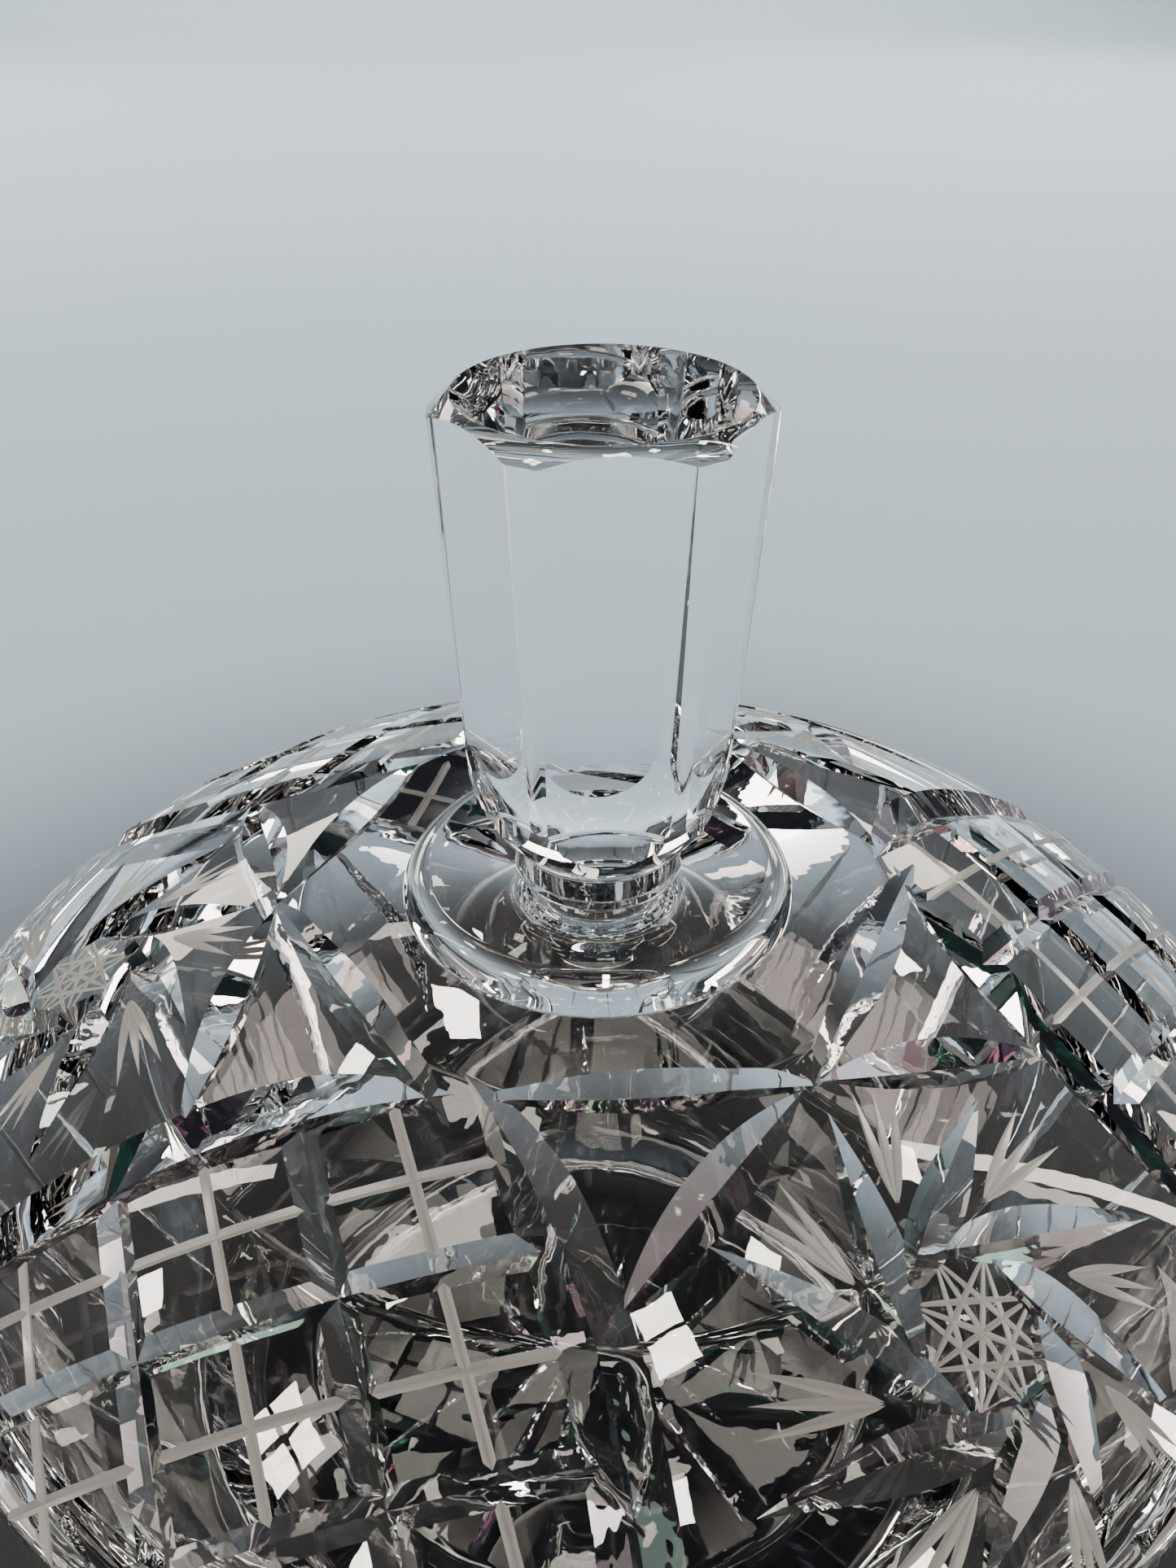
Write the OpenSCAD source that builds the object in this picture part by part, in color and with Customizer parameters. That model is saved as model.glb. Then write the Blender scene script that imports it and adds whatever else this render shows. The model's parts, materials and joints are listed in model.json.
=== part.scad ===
// Cut crystal decanter: a broad, low body of thick glass with a round lip, and a
// six-sided stopper whose tapered shank drops into the bore. Millimetres, +Z up,
// origin at the centre of the foot, -Y is the front.

/* [Body] */
// Radius of the body at its widest edge
body_r = 79; // [70:1:95]
// Height of the widest edge above the foot
edge_z = 68; // [55:1:80]
// Outer radius of the foot
base_r = 50; // [40:1:60]
// Height of the level shoulder above the foot
shoulder_z = 90; // [84:1:100]
// Radius where the level shoulder starts to fall away
shoulder_flat_r = 33; // [28:1:40]
// Radius of the domed curve between shoulder and edge
shoulder_curve_r = 170; // [120:5:260]

/* [Walls] */
// Thickness of the glass in the sides
side_wall = 7; // [5:0.5:10]
// Thickness of the glass in the shoulder
shoulder_wall = 8; // [6:0.5:11]
// Thickness of the glass in the base
base_wall = 10; // [7:0.5:15]
// Radius of the hollow ground into the underside
punt_r = 40; // [25:1:46]
// Depth of the hollow ground into the underside
punt_depth = 1.5; // [1:0.5:4]

/* [Lip and bore] */
// Radius of the lip's flat top
lip_flat_r = 18.5; // [16:0.5:24]
// Height of the lip, and the radius of its rounded side
lip_h = 3.5; // [3:0.5:6]
// Radius of the bore at the top of the lip
bore_r = 8.5; // [7.5:0.25:11]
// How much the bore's radius shrinks for each millimetre of depth
bore_taper = 0.05; // [0.03:0.01:0.1]

/* [Stopper] */
// Height of the stopper's top above the lip
stopper_rise = 53; // [45:1:65]
// Distance from the axis to a wide panel, at the top
panel_apothem = 14.8; // [12:0.2:18]
// Distance from the axis to a narrow corner facet, at the top
corner_apothem = 16.2; // [13:0.2:19.5]
// Inward lean of the panels, in degrees
panel_lean = 3.2; // [0:0.2:6]
// Radius of the flat table on top
table_r = 14; // [10:0.5:16]
// Drop of the sloping edge round the table
table_edge_h = 2.6; // [1:0.2:5]
// Radius of the rounded underside of the knob
knob_round_r = 14.2; // [12:0.2:16]
// Height of the centre of that rounding above the lip
knob_round_z = 15; // [12:0.5:20]
// How far the neck between knob and shank stands out past the shank
neck_step = 1; // [0.6:0.1:2.5]
// Height of the neck's underside above the lip
neck_gap = 0.4; // [0.2:0.1:2]
// Length of the shank below the lip
shank_l = 18; // [12:1:28]
// Clearance between shank and bore
shank_gap = 0.3; // [0.2:0.05:0.5]

/* [Cuts] */
// Depth of the leaf cuts round the lip
leaf_depth = 1.8; // [1:0.1:3]
// Distance of the leaf cuts from the axis
leaf_offset = 31.5; // [29:0.5:36]
// Depth of the mitre cuts down the shoulder
mitre_depth = 2.4; // [1:0.1:3.5]
// Half of the angle of a cut's V
cut_half_angle = 55; // [45:1:65]

/* [Hidden] */
$fn = 96;
glass_colour = [0.86, 0.89, 0.90, 0.6];
sides = 6;
over = 1;                       // how far a cutting solid runs past what it cuts
big = 400;                      // larger than the whole object

lip_top_z = shoulder_z + lip_h;
top_z = lip_top_z + stopper_rise;

// Side arc: upright at the widest edge, and it passes through the foot's rim
side_run = body_r - base_r;
side_curve_r = (side_run * side_run + edge_z * edge_z) / (2 * side_run);
side_centre = [body_r - side_curve_r, edge_z];

// Shoulder arc: the circle of shoulder_curve_r through its two end points
rim_point = [body_r, edge_z];
flat_point = [shoulder_flat_r, shoulder_z];
chord = rim_point - flat_point;
chord_mid = (rim_point + flat_point) / 2;
chord_to_centre = sqrt(shoulder_curve_r * shoulder_curve_r - norm(chord) * norm(chord) / 4);
shoulder_centre = chord_mid + [chord[1], -chord[0]] / norm(chord) * chord_to_centre;
shoulder_bulge = shoulder_curve_r - chord_to_centre;

// Star points: where neighbouring leaf cuts cross
star_r = leaf_offset / cos(180 / sides);
groove_open = 12;               // height of the solid that cuts a groove

ceiling_z = shoulder_z - shoulder_wall;
shank_r = bore_r - shank_gap;
neck_r = shank_r + neck_step;
shank_tip_r = shank_r - shank_l * bore_taper;
knob_wide_r = corner_apothem + 1;

// Half outline of the body, thinner than the outside by side and top
module body_half(side, top, z_low, z_high) {
    intersection() {
        translate(side_centre) circle(r = side_curve_r - side);
        translate(shoulder_centre) circle(r = shoulder_curve_r - top);
        translate([0, z_low]) square([big, z_high - z_low]);
    }
}

module lip_half() {
    translate([lip_flat_r, shoulder_z]) intersection() {
        circle(r = lip_h);
        square(lip_h + over);
    }
    translate([0, shoulder_z - over]) square([lip_flat_r, lip_h + over]);
}

// Solid that a V-edged stone leaves along a straight line: its bottom edge lies on
// the local Y axis, and it opens upwards
module v_groove(length) {
    half = groove_open * tan(cut_half_angle);
    translate([0, length / 2, 0]) rotate([90, 0, 0]) linear_extrude(length)
        polygon([[0, 0], [half, groove_open], [-half, groove_open]]);
}

// Six cuts round the lip, whose ends cross at six star points
module leaf_cuts() {
    for (i = [0:sides - 1]) rotate([0, 0, 60 * i])
        translate([0, -leaf_offset, shoulder_z - leaf_depth])
            rotate([0, 0, 90]) v_groove(4 * leaf_offset);
}

// Six cuts that run from the star points down the domed shoulder to the widest edge
module mitre_cuts() {
    run = body_r - star_r;
    fall = shoulder_z - edge_z;
    for (i = [0:sides - 1]) rotate([0, 0, 60 * i + 30])
        translate([0, -star_r - run / 2, shoulder_z - fall / 2 - mitre_depth + shoulder_bulge])
            rotate([atan2(fall, run), 0, 0]) v_groove(2 * run);
}

module decanter() {
    color(glass_colour) difference() {
        rotate_extrude() body_half(0, 0, 0, shoulder_z);
        leaf_cuts();
        mitre_cuts();
        rotate_extrude() body_half(side_wall, shoulder_wall, base_wall, ceiling_z);
        translate([0, 0, -over]) cylinder(r = punt_r, h = punt_depth + over);
        bore();
    }
    color(glass_colour) difference() {
        rotate_extrude() lip_half();
        bore();
    }
}

// Tapered hole from above the lip down into the hollow
module bore() {
    depth = lip_top_z - ceiling_z + over;
    translate([0, 0, lip_top_z - depth])
        cylinder(r1 = bore_r - depth * bore_taper, r2 = bore_r + over * bore_taper,
                 h = depth + over);
}

// One flat ground off the knob, at a distance from the axis at the top and leaning in
module knob_flat(apothem) {
    translate([0, -apothem, top_z]) rotate([panel_lean, 0, 0])
        translate([-big / 2, -big, -big / 2]) cube(big);
}

module knob() {
    difference() {
        rotate_extrude() {
            polygon([[0, lip_top_z + knob_round_z],
                     [knob_round_r, lip_top_z + knob_round_z],
                     [knob_wide_r, top_z - table_edge_h],
                     [table_r, top_z],
                     [0, top_z]]);
            translate([0, lip_top_z + knob_round_z]) intersection() {
                circle(r = knob_round_r);
                translate([0, -big]) square(big);
            }
        }
        for (i = [0:sides - 1]) rotate([0, 0, 60 * i]) {
            knob_flat(panel_apothem);
            rotate([0, 0, 30]) knob_flat(corner_apothem);
        }
    }
}

module stopper() {
    shank_top = neck_gap + over;
    color(glass_colour) union() {
        knob();
        translate([0, 0, lip_top_z + neck_gap])
            cylinder(r = neck_r, h = knob_round_z - neck_gap);
        translate([0, 0, lip_top_z - shank_l])
            cylinder(r1 = shank_tip_r, r2 = shank_r + shank_top * bore_taper,
                     h = shank_l + shank_top);
    }
}

decanter();
stopper();
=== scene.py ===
"""Cut crystal decanter with its lift-out stopper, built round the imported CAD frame.

The body is one revolved shell of thick glass, foot, side, domed shoulder, lip, bore and
hollow in a single closed outline. Every cut is a V-edged solid swept along its own path
and taken out of the shell, as a stone wheel does it. The stopper is a turned blank with
twelve flats ground off, and its long edges dressed. Lengths are millimetres in the shape
functions and metres on the stage.
"""
import json
import math

import bpy
import numpy as np
from mathutils import Matrix, Vector

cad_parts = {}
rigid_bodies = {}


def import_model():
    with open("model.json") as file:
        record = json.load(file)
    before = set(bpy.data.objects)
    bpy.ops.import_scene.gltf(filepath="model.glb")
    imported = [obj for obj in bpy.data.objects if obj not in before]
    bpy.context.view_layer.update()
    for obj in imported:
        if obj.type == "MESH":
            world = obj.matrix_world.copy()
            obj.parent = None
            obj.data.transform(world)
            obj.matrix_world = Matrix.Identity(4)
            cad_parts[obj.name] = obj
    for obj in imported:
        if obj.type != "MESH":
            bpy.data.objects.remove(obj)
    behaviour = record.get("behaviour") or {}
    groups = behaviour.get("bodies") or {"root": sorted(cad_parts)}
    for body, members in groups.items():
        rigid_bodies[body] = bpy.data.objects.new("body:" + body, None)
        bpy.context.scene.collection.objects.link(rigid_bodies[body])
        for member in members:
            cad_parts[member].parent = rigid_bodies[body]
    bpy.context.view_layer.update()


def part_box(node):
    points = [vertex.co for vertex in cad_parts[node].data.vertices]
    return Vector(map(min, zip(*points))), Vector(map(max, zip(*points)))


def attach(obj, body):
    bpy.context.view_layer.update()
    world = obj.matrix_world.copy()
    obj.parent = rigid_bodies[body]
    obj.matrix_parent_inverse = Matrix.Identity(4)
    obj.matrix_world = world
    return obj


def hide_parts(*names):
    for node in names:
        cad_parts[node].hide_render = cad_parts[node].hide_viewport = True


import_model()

MM = 0.001
TURN = 2 * math.pi

# ---------------------------------------------------------------- sizes from the frame
_, body_high = (np.array(v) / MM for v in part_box("decanter"))
stopper_low, stopper_high = (np.array(v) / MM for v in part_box("stopper"))

BODY_R = body_high[1]            # widest radius
LIP_TOP = body_high[2]
LIP_H = 3.5                      # height of the lip, and the radius of its rounded side
SHOULDER_Z = LIP_TOP - LIP_H
EDGE_Z = 68.0                    # height of the widest edge
BASE_R = 50.0
PUNT_R, PUNT_DEPTH = 40.0, 1.5   # hollow ground into the underside
SHOULDER_FLAT_R = 33.0           # where the level shoulder starts to fall away
SHOULDER_CURVE_R = 170.0
SIDE_WALL, SHOULDER_WALL, BASE_WALL = 7.0, 8.0, 10.0
LIP_R, LIP_FLAT_R = 22.0, 18.5
BORE_R, BORE_TAPER = 8.5, 0.05   # radius at the lip's top, and its loss for each mm of depth

TABLE_Z = stopper_high[2]
SHANK_TIP_Z = stopper_low[2]
SHANK_GAP = 0.3                  # clearance in the bore
PANEL_APOTHEM, CORNER_APOTHEM, PANEL_LEAN = 14.8, 16.2, math.radians(3.2)
TABLE_R, TABLE_EDGE_H = 14.0, 2.6
KNOB_ROUND_R, KNOB_ROUND_Z = 14.2, 15.0
NECK_R, NECK_GAP = 9.2, 0.4
ARRIS = 0.05                     # how much is dressed off the knob's long edges

STAR_R = 36.0                    # ring of points where the long cuts round the lip cross


# ---------------------------------------------------------------- outlines
def arc(centre, radius, start, end, count):
    """Points at equal angles from start to end, in degrees, on a circle about centre."""
    a = np.radians(np.linspace(start, end, count))
    return np.stack([centre[0] + radius * np.cos(a), centre[1] + radius * np.sin(a)], 1)


def angle_at(centre, point):
    """Direction of a point from a centre, in degrees."""
    return math.degrees(math.atan2(point[1] - centre[1], point[0] - centre[0]))


def side_circle():
    """Circle that is upright at the widest edge and passes through the foot's rim."""
    run = BODY_R - BASE_R
    radius = (run * run + EDGE_Z * EDGE_Z) / (2 * run)
    return (BODY_R - radius, EDGE_Z), radius


def shoulder_circle():
    """Circle of SHOULDER_CURVE_R through the widest edge and the level shoulder's rim."""
    rim, flat = np.array([BODY_R, EDGE_Z]), np.array([SHOULDER_FLAT_R, SHOULDER_Z])
    chord = rim - flat
    length = np.hypot(*chord)
    back = math.sqrt(SHOULDER_CURVE_R ** 2 - length ** 2 / 4)
    return tuple((rim + flat) / 2 + np.array([chord[1], -chord[0]]) / length * back), SHOULDER_CURVE_R


SIDE_C, SIDE_R = side_circle()
SHOULDER_C, SHOULDER_R = shoulder_circle()


def rounded(points, radii, count=5):
    """Outline through the points with each corner replaced by a curve of about its radius.

    The curve is ends[0] * (1 - s)^2 + 2 * corner * s * (1 - s) + ends[1] * s^2. It touches
    both legs at radius * tan(turn / 2) from the corner, where turn is the change of
    direction there, or at 0.45 of the leg if that is nearer. A radius of 0 leaves a corner.
    """
    out = []
    last = len(points) - 1
    for i, (p, radius) in enumerate(zip(np.asarray(points, float), radii)):
        if radius == 0 or i in (0, last):
            out.append(p[None])
            continue
        a, b = points[i - 1] - p, points[i + 1] - p
        la, lb = np.hypot(*a), np.hypot(*b)
        a, b = a / la, b / lb
        half = math.acos(np.clip(a @ b, -1, 1)) / 2
        reach = min(radius / math.tan(half), la * 0.45, lb * 0.45)
        s = np.linspace(0, 1, count)[:, None]
        ends = p + a * reach, p + b * reach
        out.append(ends[0] * (1 - s) ** 2 + 2 * p * s * (1 - s) + ends[1] * s ** 2)
    return np.concatenate(out)


def end_radii(points, first=0, last=0):
    """Corner radii for a run of points: one for each end, and none between them."""
    return (first,) + (0,) * (len(points) - 2) + (last,)


def body_outline():
    """Half outline of the decanter from the foot's centre, up the outside and down inside.

    Each run of points comes with the radii of its corners.
    """
    side = arc(SIDE_C, SIDE_R, angle_at(SIDE_C, (BASE_R, 0)), 0, 40)
    shoulder = arc(SHOULDER_C, SHOULDER_R, angle_at(SHOULDER_C, (BODY_R, EDGE_Z)),
                   angle_at(SHOULDER_C, (SHOULDER_FLAT_R, SHOULDER_Z)), 30)[1:]
    lip = arc((LIP_FLAT_R, SHOULDER_Z), LIP_H, -8, 88, 14)[1:]
    lip_root = np.array([[LIP_R - 0.4, SHOULDER_Z + 0.05]])
    bore_low = SHOULDER_Z - SHOULDER_WALL
    bore_low_r = BORE_R - (LIP_TOP - bore_low) * BORE_TAPER
    bore = np.array([[BORE_R + 0.1, LIP_TOP - 0.25], [bore_low_r, bore_low]])
    ceiling = arc(SHOULDER_C, SHOULDER_R - SHOULDER_WALL, 66, 57, 16)
    ceiling = ceiling[ceiling[:, 1] < bore_low - 1]
    wall = arc(SIDE_C, SIDE_R - SIDE_WALL, -3, -38, 26)
    wall = wall[wall[:, 1] > BASE_WALL + 5]
    punt = np.array([[0, PUNT_DEPTH], [PUNT_R - 1, PUNT_DEPTH], [PUNT_R + 1, 0.0]])
    base = np.array([[40.0, BASE_WALL + 0.6], [0, BASE_WALL]])
    runs = [(punt, (0, 3, 1)), (side, end_radii(side, 2.5, 1.6)), (shoulder, end_radii(shoulder, 0, 12)),
            (lip_root, (0.7,)), (lip, end_radii(lip)), (bore, (0.8, 3.5)),
            (ceiling, end_radii(ceiling, 8, 6)), (wall, end_radii(wall, 9, 6)), (base, (10, 0))]
    points = np.concatenate([run for run, _ in runs])
    return rounded(points, sum((radii for _, radii in runs), ()))


def stopper_outline():
    """Half outline of the stopper's blank, from the tip of the shank up to the table."""
    tip_z, neck_z = SHANK_TIP_Z, LIP_TOP + NECK_GAP
    top_r = BORE_R - SHANK_GAP
    tip_r = top_r - (LIP_TOP - tip_z) * BORE_TAPER
    shank = [[0, tip_z], [tip_r, tip_z], [top_r, LIP_TOP], [top_r + 0.1, neck_z]]
    neck = [[NECK_R, neck_z + 0.3], [NECK_R, neck_z + 3.4]]
    under = arc((0, LIP_TOP + KNOB_ROUND_Z), KNOB_ROUND_R, -48, -2, 14)
    top = [[CORNER_APOTHEM + 1, TABLE_Z - TABLE_EDGE_H], [TABLE_R, TABLE_Z], [0, TABLE_Z]]
    radii = (0, 0.8, 0, 0.2) + (0.8, 1.5) + end_radii(under, 0.8) + (0, 0.25, 0)
    return rounded(np.concatenate([shank, neck, under, top]), radii)


# ---------------------------------------------------------------- meshes
def mesh_from(name, points, faces, materials):
    """Mesh in metres from millimetre points and a list of face arrays."""
    mesh = bpy.data.meshes.new(name)
    polygons = [tuple(f) for block in faces for f in block.tolist()]
    mesh.from_pydata((points * MM).tolist(), [], polygons)
    for m in materials:
        mesh.materials.append(m)
    return mesh


def revolve(name, outline, segments, material):
    """Closed solid of revolution: point (r, z) goes to (r cos t, r sin t, z) for each turn t.

    The outline starts and ends on the axis and runs anticlockwise seen with r to the right,
    so that faces point out of the glass. Its two axis points become single poles.
    """
    t = np.arange(segments) / segments * TURN
    r, z = outline[1:-1, 0], outline[1:-1, 1]
    ring = np.stack([r[:, None] * np.cos(t), r[:, None] * np.sin(t),
                     np.repeat(z[:, None], segments, 1)], -1).reshape(-1, 3)
    poles = np.array([[0, 0, outline[0, 1]], [0, 0, outline[-1, 1]]])
    rows = len(r)
    i, j = np.meshgrid(np.arange(rows - 1), np.arange(segments), indexing="ij")
    k = (j + 1) % segments
    a, b, c, d = (i * segments + j, i * segments + k,
                  (i + 1) * segments + k, (i + 1) * segments + j)
    quads = np.stack([a, b, c, d], -1).reshape(-1, 4)
    j = np.arange(segments)
    k = (j + 1) % segments
    first = np.stack([np.full(segments, rows * segments), k, j], -1)
    top = (rows - 1) * segments
    last = np.stack([top + j, top + k, np.full(segments, rows * segments + 1)], -1)
    return mesh_from(name, np.concatenate([ring, poles]), [quads, first, last], [material])


def outline_normals(outline, points):
    """Normal of the revolved outline at points that lie on it.

    Each point takes the nearest stretch of the outline, and blends the normals of its two
    ends, which are the averages of the stretches that meet there.
    """
    leg = np.diff(outline, axis=0)
    length = np.hypot(*leg.T)
    flat = np.stack([leg[:, 1], -leg[:, 0]], 1) / length[:, None]
    corner = np.concatenate([flat[:1], flat[1:] + flat[:-1], flat[-1:]])
    corner /= np.hypot(*corner.T)[:, None]
    r, z = np.hypot(points[:, 0], points[:, 1]), points[:, 2]
    out = np.empty_like(points)
    at_once = 4000
    for part in np.array_split(np.arange(len(points)), max(1, len(points) // at_once)):
        d = np.stack([r[part], z[part]], 1)[:, None] - outline[None, :-1]
        s = np.clip((d * leg).sum(-1) / length ** 2, 0, 1)
        off = d - s[..., None] * leg
        best = (off ** 2).sum(-1).argmin(1)
        w = s[np.arange(len(part)), best][:, None]
        n = corner[best] * (1 - w) + corner[best + 1] * w
        n /= np.hypot(*n.T)[:, None]
        turn = points[part, :2] / np.maximum(r[part], 1e-6)[:, None]
        out[part] = np.concatenate([turn * n[:, :1], n[:, 1:]], 1)
    return out


# ---------------------------------------------------------------- places on the glass
def shoulder_height(r):
    """Height of the uncut shoulder at a radius, carried on past the widest edge."""
    dome = SHOULDER_C[1] + np.sqrt(SHOULDER_R ** 2 - (r - SHOULDER_C[0]) ** 2)
    return np.where(r < SHOULDER_FLAT_R, SHOULDER_Z, dome)


def on_shoulder(xy):
    """Points of the shoulder above plan positions, with their normals.

    The normal follows the dome's circle, faded to upright across the level shoulder.
    """
    r = np.hypot(*xy.T)
    lean = (r - SHOULDER_C[0]) / SHOULDER_R * np.clip((r - 26) / 12, 0, 1)
    n = np.concatenate([xy / r[:, None] * lean[:, None], np.sqrt(1 - lean ** 2)[:, None]], 1)
    return np.concatenate([xy, shoulder_height(r)[:, None]], 1), n


def on_side(azimuth, z):
    """Points of the side at an azimuth in degrees and a height, with their normals."""
    a = np.radians(azimuth)
    lean = (z - SIDE_C[1]) / SIDE_R
    out = np.sqrt(1 - lean ** 2)
    r = SIDE_C[0] + SIDE_R * out
    turn = np.stack([np.sin(a), -np.cos(a)], 1)
    points = np.concatenate([turn * r[:, None], z[:, None]], 1)
    return points, np.concatenate([turn * out[:, None], lean[:, None]], 1)


def on_foot(xy):
    """Points of the hollow under the foot, whose normals point down."""
    flat = np.full((len(xy), 1), PUNT_DEPTH)
    return np.concatenate([xy, flat], 1), np.tile([0.0, 0.0, -1.0], (len(xy), 1))


def turned(uv, azimuth):
    """Plan positions from a sector's own u, across, and v, outwards, at its azimuth.

    Azimuth 0 is the front, and a positive one turns towards +X.
    """
    a = math.radians(azimuth)
    across, out = np.array([math.cos(a), math.sin(a)]), np.array([math.sin(a), -math.cos(a)])
    return uv[:, :1] * across + uv[:, 1:] * out


# ---------------------------------------------------------------- cuts
class Cuts:
    """Gathers V-edged cutting solids, each swept along a path on the glass."""

    def __init__(self):
        self.solids = []

    def add(self, place, depth, half_angle, finish, proud=1.2):
        """One cut: at each path point the V's edge lies depth below the surface.

        Its two upper corners lie proud of the surface, (depth + proud) * tan(half_angle) to
        either side, so a cut gets narrower as it gets shallower and ends in a point where
        the depth passes zero.
        """
        points, normals = place
        along = np.gradient(points, axis=0)
        side = np.cross(along, normals)
        side /= np.linalg.norm(side, axis=1)[:, None]
        half = ((depth + proud) * math.tan(math.radians(half_angle)))[:, None]
        depth = depth[:, None]
        rings = np.stack([points - normals * depth,
                          points + normals * proud + side * half,
                          points + normals * proud - side * half], 1)
        count = len(points)
        i = np.arange(count - 1)[:, None] * 3
        j = np.arange(3)[None]
        k = (j + 1) % 3
        walls = np.stack([i + j, i + 3 + j, i + 3 + k, i + k], -1).reshape(-1, 4)
        ends = np.array([[0, 1, 2]]), np.array([[2, 1, 0]]) + 3 * (count - 1)
        self.solids.append((rings.reshape(-1, 3), [walls, *ends], finish))

    def taken_from(self, target):
        """Subtracts every solid from the target's mesh and keeps each cut's finish."""
        group = bpy.data.collections.new("cutters")
        for n, (points, faces, finish) in enumerate(self.solids):
            mesh = mesh_from(f"cutter_{n}", points, faces, [finish])
            group.objects.link(bpy.data.objects.new(f"cutter_{n}", mesh))
        cut = target.modifiers.new("cuts", "BOOLEAN")
        cut.operation, cut.solver, cut.operand_type = "DIFFERENCE", "MANIFOLD", "COLLECTION"
        cut.collection, cut.material_mode = group, "TRANSFER"
        graph = bpy.context.evaluated_depsgraph_get()
        result = bpy.data.meshes.new_from_object(target.evaluated_get(graph))
        target.modifiers.clear()
        old, target.data = target.data, result
        result.name = target.name
        bpy.data.meshes.remove(old)
        for o in list(group.objects):
            mesh = o.data
            bpy.data.objects.remove(o)
            bpy.data.meshes.remove(mesh)
        bpy.data.collections.remove(group)


def leaf(count, peak, end=-0.15, lean=0.0):
    """Depths of a leaf cut: end + (peak - end) * (1 - s * s), for s from -1 to 1.

    A lean moves the deepest place along the cut.
    """
    s = np.linspace(-1, 1, count)
    s = s + lean * (1 - s * s)
    return end + (peak - end) * (1 - s * s)


def line(start, end, count):
    """Equally spaced points from start to end."""
    w = np.linspace(0, 1, count)[:, None]
    return np.asarray(start) * (1 - w) + np.asarray(end) * w


WIDE, NARROW = 58, 52            # half angles of the polished and the matte stones' V
FAN_ANGLE = 50
LEAF_DEPTH = 1.75

PETAL_LENGTH = 68.0
PETAL_DEPTH = 2.35
PETAL_RAMP = 18.0                # how far from its point a petal's edge reaches full depth
# A petal's right and left edge: side, v on the petal's middle, heading there, radius, first
PETAL_EDGES = ((1, 31.6, 26.0, 84.0, 1.0), (-1, 35.0, 20.0, 90.0, -2.0))
# The two families of the lattice: slope, v of the first cut on the petal's middle, step
LATTICE = ((44.0, 41.0, 12.5), (-34.0, 44.0, 9.7))


def petal_edge(along, side, middle_v, heading, radius):
    """Edge of a petal in its own u, v, at distances along it: an arc of a circle.

    It crosses the petal's middle at middle_v, heading degrees outwards of straight across,
    and turns outwards on a circle of the radius until it runs off the glass.
    """
    start = math.radians(heading)
    h = start + along / radius
    u = side * radius * (np.sin(h) - math.sin(start))
    v = middle_v + radius * (math.cos(start) - np.cos(h))
    return np.stack([u, v], 1)


def cut_petal(cuts, azimuth):
    """Two broad curved mitres, and between them a lattice of wide polished and thin matte cuts.

    A mitre's depth rises as a quarter of a sine wave over PETAL_RAMP. The lattice's cuts are
    straight in plan, of one depth, and run from one mitre to the other.
    """
    borders = []
    for *edge, first in PETAL_EDGES:
        along = np.linspace(first, PETAL_LENGTH, 34)
        ramp = np.sin(np.clip((along - first) / PETAL_RAMP, 0, 1) * math.pi / 2)
        place = on_shoulder(turned(petal_edge(along, *edge), azimuth))
        cuts.add(place, PETAL_DEPTH * ramp - 0.1, WIDE, POLISHED_CUT)
        borders.append(petal_edge(np.linspace(0, PETAL_LENGTH, 60), *edge))
    for slope, crossing, step in LATTICE:
        way = np.array([math.cos(math.radians(slope)), math.sin(math.radians(slope))])
        for n in range(6):
            s = np.linspace(-60, 60, 481)
            path = np.array([0, crossing + step * n]) + s[:, None] * way
            right, left = (np.interp(path[:, 1], e[:, 1], e[:, 0], left=0) for e in borders)
            inside = (path[:, 0] < right) & (path[:, 0] > left) & (np.hypot(*path.T) < 82)
            if inside.sum() < 12:
                continue
            path = line(path[inside][0] - way * 0.6, path[inside][-1] + way * 0.6, 14)
            place = on_shoulder(turned(path, azimuth))
            depth, angle, finish = ((0.42, NARROW, MATTE_CUT), (1.1, WIDE, POLISHED_CUT))[n % 2]
            cuts.add(place, np.full(14, depth), angle, finish)


BUTTON_V, BUTTON_R = 60.0, 6.4   # place of a whirl's button from the axis, and its radius
RAY_REACH = (22.0, 23.0, 26.0, 20.0, 16.0, 19.0, 27.0, 26.0)
FAN_LAG, FAN_ROOT, FAN_SHARE = 46, 11.0, 0.56   # angle behind a ray, root radius, share of its reach
FAN_TURNS = (-27, -16, -5)       # headings of a fan's three cuts past their ray's


def polar(angle, radius):
    """Offset at an angle clockwise from inwards, towards the lip."""
    a = math.radians(angle)
    return np.array([math.sin(a) * radius, -math.cos(a) * radius])


def cut_whirl(cuts, azimuth):
    """A hatched button with eight leaf cuts that pass it like a pinwheel, and fans between."""
    button = np.array([0, BUTTON_V])
    for n, reach in enumerate(RAY_REACH):
        heading = 45 * n
        path = line(button + polar(heading, reach), button + polar(heading - 90, BUTTON_R + 0.6), 12)
        cuts.add(on_shoulder(turned(path, azimuth)), leaf(12, 1.6, lean=-0.25), WIDE, POLISHED_CUT)
        root = button + polar(heading - FAN_LAG, FAN_ROOT)
        for turn in FAN_TURNS:
            path = line(root, root + polar(heading + turn, FAN_SHARE * reach), 10)
            cuts.add(on_shoulder(turned(path, azimuth)), leaf(10, 0.46, lean=0.3), FAN_ANGLE, MATTE_CUT)
    for turn, count in ((135, 8), (180, 4)):
        for n in range(count):
            path = line(button + polar(45 * n, BUTTON_R), button + polar(45 * n + turn, BUTTON_R), 6)
            cuts.add(on_shoulder(turned(path, azimuth)), leaf(6, 0.26, end=0.1), FAN_ANGLE, MATTE_CUT)


LEAF_SLANT = math.radians(14.5)  # of the leaves past a star, outwards of straight across
LEAF_REACH = 29.0


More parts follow.
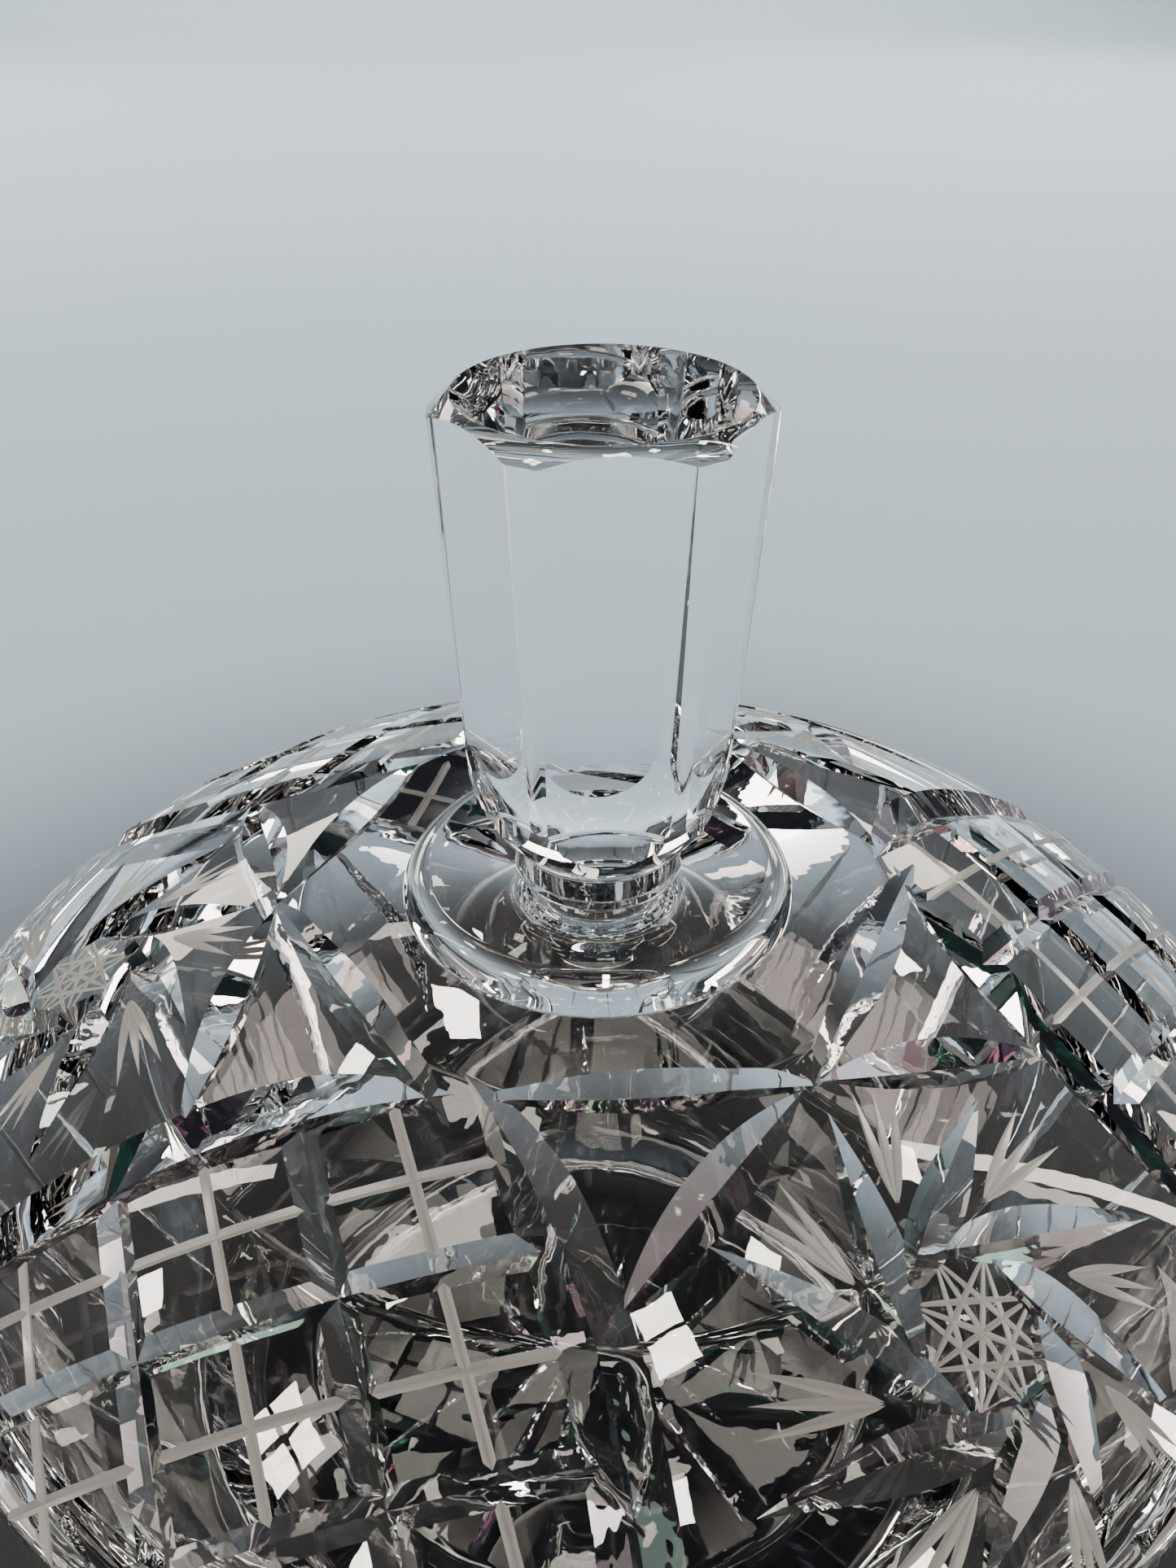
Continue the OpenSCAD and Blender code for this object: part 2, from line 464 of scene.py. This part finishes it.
def cut_lip_leaves(cuts):
    """Six long leaves round the lip, and two that fan out past each whirl's star point."""
    half = STAR_R * math.sin(math.pi / 6)
    off = STAR_R * math.cos(math.pi / 6)
    for n in range(6):
        start, end = (-half + 4, half + 1) if n % 2 == 0 else (-half - 1, half + 3)
        path = line((start, off + 0.4), (end, off), 16)
        cuts.add(on_shoulder(turned(path, 60 * n)), leaf(16, LEAF_DEPTH, end=0.05), WIDE, POLISHED_CUT)
    for azimuth in (30, 150, 270):
        for side in (-1, 1):
            tip = (side * LEAF_REACH * math.cos(LEAF_SLANT), STAR_R + LEAF_REACH * math.sin(LEAF_SLANT))
            path = line((side * 0.5, STAR_R), tip, 16)
            cuts.add(on_shoulder(turned(path, azimuth)), leaf(16, LEAF_DEPTH), WIDE, POLISHED_CUT)


def cut_side(cuts):
    """Tall upright leaves round the side, with thin matte ones between them."""
    for n in range(24):
        top, peak = (63, 1.9) if n % 2 == 0 else (57, 1.3)
        z = np.linspace(top, 7, 24)
        cuts.add(on_side(np.full(24, 15.0 * n + 7.5), z), leaf(24, peak), WIDE, POLISHED_CUT)
        z = np.linspace(60, 34, 12)
        cuts.add(on_side(np.full(12, 15.0 * n), z), leaf(12, 0.5), NARROW, MATTE_CUT)


def cut_foot(cuts):
    """A star of narrow rays ground into the hollow under the foot."""
    for n in range(24):
        reach = 37 if n % 2 == 0 else 27
        path = turned(line((0, 1.5), (0, reach), 10), 15 * n)
        cuts.add(on_foot(path), leaf(10, 1.0), NARROW, POLISHED_CUT)


# ---------------------------------------------------------------- materials
class Value:
    """A node socket that can be used in ordinary arithmetic."""

    def __init__(self, tree, socket):
        self.tree, self.socket = tree, socket

    def _math(self, operation, *values):
        return self.tree.add("ShaderNodeMath", {"operation": operation},
                             {n: v for n, v in enumerate(values)})[0]

    def __add__(self, other):
        return self._math("ADD", self, other)

    def __mul__(self, other):
        return self._math("MULTIPLY", self, other)

    def __sub__(self, other):
        return self._math("SUBTRACT", self, other)

    def __rsub__(self, other):
        return self._math("SUBTRACT", other, self)

    def clamped(self, low, high):
        """The value held between low and high."""
        return self._math("MINIMUM", self._math("MAXIMUM", self, low), high)

    __radd__, __rmul__ = __add__, __mul__


class Tree:
    """The node tree of a material or of the world, with one way to make any node."""

    def __init__(self, owner, shader="Principled BSDF"):
        self.owner = owner
        owner.use_nodes = True
        self.nodes, self.links = owner.node_tree.nodes, owner.node_tree.links
        self.shader = self.nodes[shader]

    def add(self, kind, settings=None, inputs=None):
        """Makes a node, applies its settings, feeds its inputs, and returns its outputs."""
        node = self.nodes.new(kind)
        for key, value in (settings or {}).items():
            setattr(node, key, value)
        self.feed(node, inputs or {})
        return [Value(self, s) for s in node.outputs]

    def feed(self, node, inputs):
        """Links or sets each named input of a node."""
        for key, value in inputs.items():
            if isinstance(value, Value):
                self.links.new(value.socket, node.inputs[key])
            else:
                node.inputs[key].default_value = value


def object_noise(tree, scale, detail=2.0):
    """Noise on the piece's own coordinates, in cells of 1 / scale metres."""
    place = tree.add("ShaderNodeTexCoord")[3]
    return tree.add("ShaderNodeTexNoise", {}, {"Vector": place, "Scale": scale, "Detail": detail})[0]


def glass(name, tint, roughness, spread, ripple, ripple_scale, film=0.0, clear=1.0):
    """Lead crystal, with a little unevenness in its polish and its surface.

    The roughness varies by spread, the surface by ripple metres in cells of 1 / ripple_scale
    metres. The film is a clear layer in nanometres, and clear is the share that transmits.
    """
    tree = Tree(bpy.data.materials.new(name))
    patchy = object_noise(tree, 90, 3.0)
    bump = tree.add("ShaderNodeBump", {}, {
        "Strength": 1.0, "Distance": ripple, "Height": object_noise(tree, ripple_scale)})[0]
    tree.feed(tree.shader, {
        "Base Color": (*tint, 1), "Transmission Weight": clear, "IOR": 1.55,
        "Thin Film Thickness": film, "Thin Film IOR": 1.33,
        "Roughness": (roughness + (patchy - 0.5) * spread).clamped(0, 1), "Normal": bump})
    return tree.owner


CLEAR_TINT, GROUND_TINT = (0.96, 0.965, 0.97), (0.42, 0.405, 0.39)
FILM = 1300.0                    # for faint colours on the cuts
CRYSTAL = glass("crystal", CLEAR_TINT, 0.004, 0.012, 0.00002, 160)
POLISHED_CUT = glass("crystal_polished_cut", CLEAR_TINT, 0.012, 0.02, 0.00004, 260, FILM)
FLAT = glass("crystal_flat", CLEAR_TINT, 0.004, 0.012, 0.000008, 120)
MATTE_CUT = glass("crystal_matte_cut", GROUND_TINT, 0.42, 0.2, 0.00004, 2600, clear=0.6)


# ---------------------------------------------------------------- pieces
def finish_glass(piece, outline, sharp):
    """Crisp edges past sharp degrees, and the outline's own normals on the turned surface."""
    mesh = piece.data
    mesh.shade_smooth()
    mesh.set_sharp_from_angle(angle=math.radians(sharp))
    normals = np.empty(len(mesh.loops) * 3, np.float32)
    mesh.corner_normals.foreach_get("vector", normals)
    normals = normals.reshape(-1, 3)
    start = np.empty(len(mesh.polygons), np.int32)
    total, slot = np.empty_like(start), np.empty_like(start)
    mesh.polygons.foreach_get("loop_start", start)
    mesh.polygons.foreach_get("loop_total", total)
    mesh.polygons.foreach_get("material_index", slot)
    turned_skin = np.repeat(slot == 0, total)
    vertex = np.empty(len(mesh.loops), np.int32)
    mesh.loops.foreach_get("vertex_index", vertex)
    co = np.empty(len(mesh.vertices) * 3, np.float32)
    mesh.vertices.foreach_get("co", co)
    points = co.reshape(-1, 3).astype(float)[vertex[turned_skin]] / MM
    normals[turned_skin] = outline_normals(outline, points)
    mesh.normals_split_custom_set(normals.tolist())


def piece_from(mesh):
    """Object at the origin that shows a mesh."""
    piece = bpy.data.objects.new(mesh.name, mesh)
    bpy.context.scene.collection.objects.link(piece)
    return piece


def make_decanter():
    """The body: a revolved shell less every cut."""
    outline = body_outline()
    piece = piece_from(revolve("decanter_glass", outline, 216, CRYSTAL))
    cuts = Cuts()
    for azimuth in (-30, 90, 210):
        cut_petal(cuts, azimuth)
    for azimuth in (30, 150, 270):
        cut_whirl(cuts, azimuth)
    cut_lip_leaves(cuts)
    cut_side(cuts)
    cut_foot(cuts)
    cuts.taken_from(piece)
    finish_glass(piece, outline, 16)
    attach(piece, "body")
    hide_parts("decanter")


def flat_solid(apothem, azimuth):
    """Block whose inner face lies apothem from the axis at the top and leans inwards below.

    The block is built against y = 0, leaned about x, moved out to the apothem, turned to
    its azimuth about the axis and raised to the table.
    """
    wide, tall, deep = 60.0, 120.0, 30.0
    corners = np.array([(x, y, z) for x in (-wide, wide) for y in (-deep, 0) for z in (-tall, tall)])
    faces = np.array([(0, 1, 3, 2), (4, 6, 7, 5), (0, 4, 5, 1), (2, 3, 7, 6), (0, 2, 6, 4), (1, 5, 7, 3)])
    c, s = math.cos(PANEL_LEAN), math.sin(PANEL_LEAN)
    x, y, z = corners[:, 0], corners[:, 1] * c - corners[:, 2] * s, corners[:, 1] * s + corners[:, 2] * c
    y = y - apothem
    c, s = math.cos(math.radians(azimuth)), math.sin(math.radians(azimuth))
    return np.stack([x * c - y * s, x * s + y * c, z + TABLE_Z], 1), [faces], FLAT


def make_stopper():
    """The stopper: a revolved blank less its flats."""
    outline = stopper_outline()
    piece = piece_from(revolve("stopper_glass", outline, 192, CRYSTAL))
    cuts = Cuts()
    # The edge between panel and corner facet lies at tilt from the panel's middle
    tilt = math.atan((CORNER_APOTHEM / PANEL_APOTHEM - math.cos(math.pi / 6)) / math.sin(math.pi / 6))
    edge = PANEL_APOTHEM / math.cos(tilt) * math.cos(tilt - math.pi / 12)
    for n in range(6):
        cuts.solids.append(flat_solid(PANEL_APOTHEM, 60 * n))
        cuts.solids.append(flat_solid(CORNER_APOTHEM, 60 * n + 30))
        for side in (-15, 15):
            cuts.solids.append(flat_solid(edge - ARRIS, 60 * n + side))
    cuts.taken_from(piece)
    finish_glass(piece, outline, 8)
    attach(piece, "stopper")
    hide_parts("stopper")


# ---------------------------------------------------------------- stage, light, camera
def floor_paper_painted_shadow(near, far):
    """Pale paper with painted shade: the near colour is a dark painted shadow under the body, the far colour
    the paper past it.

    The share of far is t * t * (3 - 2 * t), where t runs from 0 at SHADE_START from the
    axis to 1 at SHADE_END.
    """
    tree = Tree(bpy.data.materials.new("floor_paper_painted_shadow"))
    place = tree.add("ShaderNodeTexCoord")[3]
    length = tree.add("ShaderNodeVectorMath", {"operation": "LENGTH"}, {0: place})[1]
    t = ((length - SHADE_START) * (1 / (SHADE_END - SHADE_START))).clamped(0, 1)
    share = t * t * (3 - 2 * t)
    colour = tree.add("ShaderNodeMix", {"data_type": "RGBA"}, {0: share, 6: (*near, 1), 7: (*far, 1)})[2]
    tree.feed(tree.shader, {"Base Color": colour, "Roughness": 0.8})
    return tree.owner


FLOOR_HALF, FLOOR_Z = 9.0, -0.0001
# The near colour is painted shade: a near-black shadow painted on the floor under the body.
FLOOR_PAINTED_SHADOW, FLOOR_FAR = (0.010, 0.012, 0.016), (0.30, 0.41, 0.54)


def make_floor():
    """A square sheet just under the foot, with a shadow painted on it under and round the body."""
    corners = np.array([(-1, -1), (1, -1), (1, 1), (-1, 1)]) * FLOOR_HALF
    points = np.concatenate([corners, np.full((4, 1), FLOOR_Z)], 1) / MM
    quad = np.array([[0, 1, 2, 3]])
    piece_from(mesh_from("floor", points, [quad], [floor_paper_painted_shadow(FLOOR_PAINTED_SHADOW, FLOOR_FAR)]))


WARM = (1.0, 0.92, 0.80)
WARM_GLOW = (1.0, 0.84, 0.76)
WINDOW_DISTANCE = 2.0
# Softboxes: name, azimuth, elevation, distance, width, height, watts, colour
SOFTBOXES = (
    ("left_strip", -105, 34, 2.0, 0.06, 1.2, 4, WARM),
    ("right_strip", 100, 34, 2.0, 0.06, 1.2, 5, WARM),
    ("left_glow", -78, 12, 1.6, 1.0, 0.5, 9, WARM_GLOW),
    ("right_glow", 78, 12, 1.6, 1.0, 0.5, 9, WARM_GLOW),
    ("left_rear", -148, 16, 1.8, 0.7, 0.3, 7, WARM),
    ("right_rear", 150, 16, 1.8, 0.7, 0.3, 7, WARM),
)
# Small lamps for glints: how many, first azimuth and elevation, their steps, size, watts
SPARKS, SPARK_FIRST, SPARK_STEP, SPARK_SIZE, SPARK_POWER = 18, (25, 14), (137.5, 3.4), 0.13, 3.2
FILL_HEIGHT, FILLS = 1.4, ((1.2, 16), (2.4, 26), (3.8, 30))   # place behind the body, watts
# Radii in metres where the painted shadow on the floor starts to fade and where it has gone.
SHADE_START, SHADE_END = 0.09, 0.25
HORIZON_FADE = 0.25              # rise of the direction at which the surroundings are darkest


def softbox(name, azimuth, elevation, distance, width, height, power, colour):
    """Area light on a sphere about the lip, facing it."""
    a, e = math.radians(azimuth), math.radians(elevation)
    aim = Vector((0, 0, SHOULDER_Z * MM))
    way = Vector((math.sin(a) * math.cos(e), -math.cos(a) * math.cos(e), math.sin(e)))
    data = bpy.data.lights.new(name, "AREA")
    data.shape, data.size, data.size_y, data.energy = "RECTANGLE", width, height, power
    data.color = colour
    lamp = bpy.data.objects.new(name, data)
    lamp.location = aim + way * distance
    lamp.rotation_euler = way.to_track_quat("Z", "Y").to_euler()
    bpy.context.scene.collection.objects.link(lamp)


def overhead(name, y, height, width, depth, power):
    """Area light that faces straight down and lights little but the floor under it."""
    data = bpy.data.lights.new(name, "AREA")
    data.shape, data.size, data.size_y, data.energy = "RECTANGLE", width, depth, power
    data.color, data.spread = WARM, math.radians(75)
    lamp = bpy.data.objects.new(name, data)
    lamp.location = (0, y, height)
    bpy.context.scene.collection.objects.link(lamp)


def window(name, azimuth, elevation, width, height, power, colour):
    """Four soft panes with dark bars between them, WINDOW_DISTANCE away."""
    step = math.degrees(0.27 * width / WINDOW_DISTANCE) / math.cos(math.radians(elevation))
    rise = math.degrees(0.27 * height / WINDOW_DISTANCE)
    for n, (column, row) in enumerate(((-1, -1), (1, -1), (-1, 1), (1, 1))):
        softbox(f"{name}_{n}", azimuth + column * step, elevation + row * rise, WINDOW_DISTANCE,
                0.46 * width, 0.46 * height, power / 4, colour)


def studio_world(horizon, above):
    """Surroundings that fade from the horizon's grey to near black above HORIZON_FADE."""
    tree = Tree(bpy.data.worlds.new("studio"), "Background")
    way = tree.add("ShaderNodeTexCoord")[0]
    height = tree.add("ShaderNodeSeparateXYZ", {}, {0: way})[2]
    share = (height * (1 / HORIZON_FADE)).clamped(0, 1)
    colour = tree.add("ShaderNodeMix", {"data_type": "RGBA"}, {0: share, 6: (*horizon, 1), 7: (*above, 1)})[2]
    tree.feed(tree.shader, {"Color": colour})
    return tree.owner


def make_stage():
    """Floor, lamps, surroundings, and how far light is followed through the glass."""
    make_floor()
    window("left_window", -63, 49, 0.26, 0.22, 8, WARM)
    window("front_window", 14, 72, 0.40, 0.24, 14, WARM)
    for lamp in SOFTBOXES:
        softbox(*lamp)
    for n in range(SPARKS):
        azimuth, elevation = (first + step * n for first, step in zip(SPARK_FIRST, SPARK_STEP))
        softbox(f"spark_{n}", azimuth, elevation, 2.0, SPARK_SIZE, SPARK_SIZE, SPARK_POWER, WARM)
    for n, (y, power) in enumerate(FILLS):
        overhead(f"far_fill_{n}", y, FILL_HEIGHT, 2.4, 1.0, power)
    scene = bpy.context.scene
    scene.world = studio_world((0.17, 0.18, 0.19), (0.012, 0.013, 0.016))
    scene.cycles.caustics_reflective = scene.cycles.caustics_refractive = False
    scene.cycles.max_bounces = scene.cycles.transmission_bounces = 20
    scene.cycles.glossy_bounces = 12


CAMERA_DISTANCE, CAMERA_ABOVE_LIP, CAMERA_AZIMUTH = 0.120, 0.0926, -4.4
CAMERA_ASIDE, CAMERA_PITCH, CAMERA_ROLL = 0.0012, 34.57, 0.43
CAMERA_LENS = 30.95              # on a 36 mm long side


def make_camera():
    """Camera in front of the axis and above the lip, pitched down at the dome."""
    data = bpy.data.cameras.new("camera")
    data.lens, data.sensor_width = CAMERA_LENS, 36
    data.clip_start, data.clip_end = 0.005, 50
    camera = bpy.data.objects.new("camera", data)
    heading = Matrix.Rotation(math.radians(CAMERA_AZIMUTH), 4, "Z")
    place = Matrix.Translation((-CAMERA_ASIDE, -CAMERA_DISTANCE, LIP_TOP * MM + CAMERA_ABOVE_LIP))
    tilt = Matrix.Rotation(math.radians(90 - CAMERA_PITCH), 4, "X")
    roll = Matrix.Rotation(math.radians(CAMERA_ROLL), 4, "Z")
    camera.matrix_world = heading @ place @ tilt @ roll
    bpy.context.scene.collection.objects.link(camera)
    bpy.context.scene.camera = camera


make_camera()
make_stage()
make_decanter()
make_stopper()
